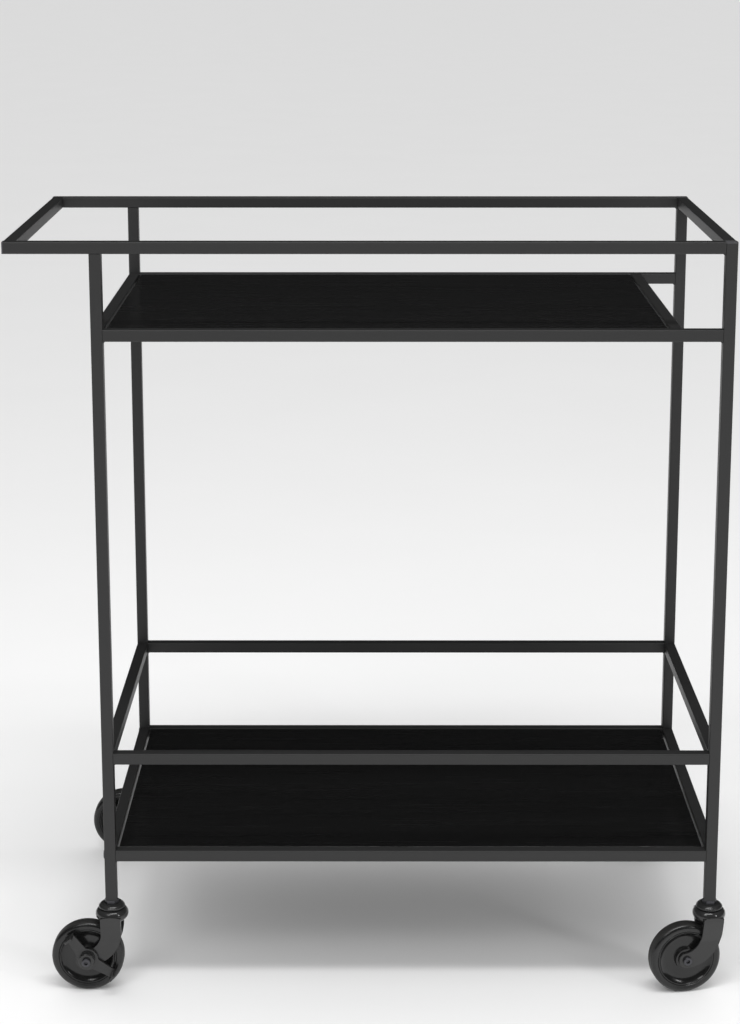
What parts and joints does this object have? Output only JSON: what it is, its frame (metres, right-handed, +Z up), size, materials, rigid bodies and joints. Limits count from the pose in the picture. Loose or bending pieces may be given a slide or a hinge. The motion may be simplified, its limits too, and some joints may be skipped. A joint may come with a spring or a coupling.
{
  "type": "bar cart",
  "caption": "Bar cart of square steel tube with upper and lower shelf boards, a raised top rail with a push handle, a lower guard rail, and swivel casters with side brakes at the handle end.",
  "frame": {"origin": "on the floor, under the middle of the cart's bounding box", "axes": "+X along the cart, from the push handle towards the plain end; +Y from front to back; +Z up"},
  "size_m": [0.739, 0.3958, 0.8],
  "materials": {
    "powder_coat": "matt black powder coat",
    "black_wood": "satin black wood grain",
    "caster_steel": "gloss black",
    "wheel_plastic": "gloss black moulded",
    "tread": "semi-gloss black",
    "blackened_steel": "black oxide",
    "bright_steel": "polished",
    "cap_plastic": "fine matt black",
    "inner_plastic": "plain moulded"
  },
  "bodies": {
    "frame": {"post_front_left": "powder_coat", "post_front_right": "powder_coat", "post_back_left": "powder_coat", "post_back_right": "powder_coat", "push_handle": "powder_coat", "top_rail_right": "powder_coat", "top_rail_front": "powder_coat", "top_rail_back": "powder_coat", "upper_shelf_bar_front": "powder_coat", "upper_shelf_bar_back": "powder_coat", "upper_shelf_bar_left": "powder_coat", "upper_shelf_bar_right": "powder_coat", "guard_rail_front": "powder_coat", "guard_rail_back": "powder_coat", "guard_rail_left": "powder_coat", "guard_rail_right": "powder_coat", "lower_shelf_bar_front": "powder_coat", "lower_shelf_bar_back": "powder_coat", "lower_shelf_bar_left": "powder_coat", "lower_shelf_bar_right": "powder_coat", "rail_end_caps": "cap_plastic", "post_top_caps": "cap_plastic", "top_rail_screws": "blackened_steel", "shelf_screws": "blackened_steel", "screw_inserts": "inner_plastic", "upper_shelf_board": "black_wood", "lower_shelf_board": "black_wood", "board_tabs": "powder_coat", "board_screws": "bright_steel", "caster_stems": "blackened_steel", "swivel_races": "caster_steel", "swivel_balls": "bright_steel", "stem_sockets": "inner_plastic"},
    "fork_front_left": {"fork_front_left": "caster_steel", "axle_bolt_front_left": "blackened_steel", "axle_nut_front_left": "blackened_steel", "axle_sleeve_front_left": "blackened_steel"},
    "wheel_front_left": {"wheel_core_front_left": "wheel_plastic", "tread_front_left": "tread"},
    "brake_front_left": {"brake_lever_front_left": "caster_steel"},
    "fork_front_right": {"fork_front_right": "caster_steel", "axle_bolt_front_right": "blackened_steel", "axle_nut_front_right": "blackened_steel", "axle_sleeve_front_right": "blackened_steel"},
    "wheel_front_right": {"wheel_core_front_right": "wheel_plastic", "tread_front_right": "tread"},
    "fork_back_left": {"fork_back_left": "caster_steel", "axle_bolt_back_left": "blackened_steel", "axle_nut_back_left": "blackened_steel", "axle_sleeve_back_left": "blackened_steel"},
    "wheel_back_left": {"wheel_core_back_left": "wheel_plastic", "tread_back_left": "tread"},
    "brake_back_left": {"brake_lever_back_left": "caster_steel"},
    "fork_back_right": {"fork_back_right": "caster_steel", "axle_bolt_back_right": "blackened_steel", "axle_nut_back_right": "blackened_steel", "axle_sleeve_back_right": "blackened_steel"},
    "wheel_back_right": {"wheel_core_back_right": "wheel_plastic", "tread_back_right": "tread"}
  },
  "joints": [
    {"name": "swivel_front_left", "type": "hinge", "parent": "frame", "child": "fork_front_left", "pos_m": [-0.27781, -0.17224, 0.0845], "axis": [0, 0, 1], "continuous": true},
    {"name": "wheel_spin_front_left", "type": "hinge", "parent": "fork_front_left", "child": "wheel_front_left", "pos_m": [-0.30381, -0.17224, 0.038], "axis": [0, 1, 0], "continuous": true},
    {"name": "brake_front_left", "type": "hinge", "parent": "fork_front_left", "child": "brake_front_left", "pos_m": [-0.30381, -0.17224, 0.038], "axis": [0, -1, 0], "range_deg": [0, 28]},
    {"name": "swivel_front_right", "type": "hinge", "parent": "frame", "child": "fork_front_right", "pos_m": [0.35219, -0.17224, 0.0845], "axis": [0, 0, 1], "continuous": true},
    {"name": "wheel_spin_front_right", "type": "hinge", "parent": "fork_front_right", "child": "wheel_front_right", "pos_m": [0.32659, -0.17675, 0.038], "axis": [-0.1736, 0.9848, 0], "continuous": true},
    {"name": "swivel_back_left", "type": "hinge", "parent": "frame", "child": "fork_back_left", "pos_m": [-0.27781, 0.17576, 0.0845], "axis": [0, 0, 1], "continuous": true},
    {"name": "wheel_spin_back_left", "type": "hinge", "parent": "fork_back_left", "child": "wheel_back_left", "pos_m": [-0.30381, 0.17576, 0.038], "axis": [0, 1, 0], "continuous": true},
    {"name": "brake_back_left", "type": "hinge", "parent": "fork_back_left", "child": "brake_back_left", "pos_m": [-0.30381, 0.17576, 0.038], "axis": [0, -1, 0], "range_deg": [0, 28]},
    {"name": "swivel_back_right", "type": "hinge", "parent": "frame", "child": "fork_back_right", "pos_m": [0.35219, 0.17576, 0.0845], "axis": [0, 0, 1], "continuous": true},
    {"name": "wheel_spin_back_right", "type": "hinge", "parent": "fork_back_right", "child": "wheel_back_right", "pos_m": [0.32659, 0.18028, 0.038], "axis": [0.1736, 0.9848, 0], "continuous": true}
  ]
}
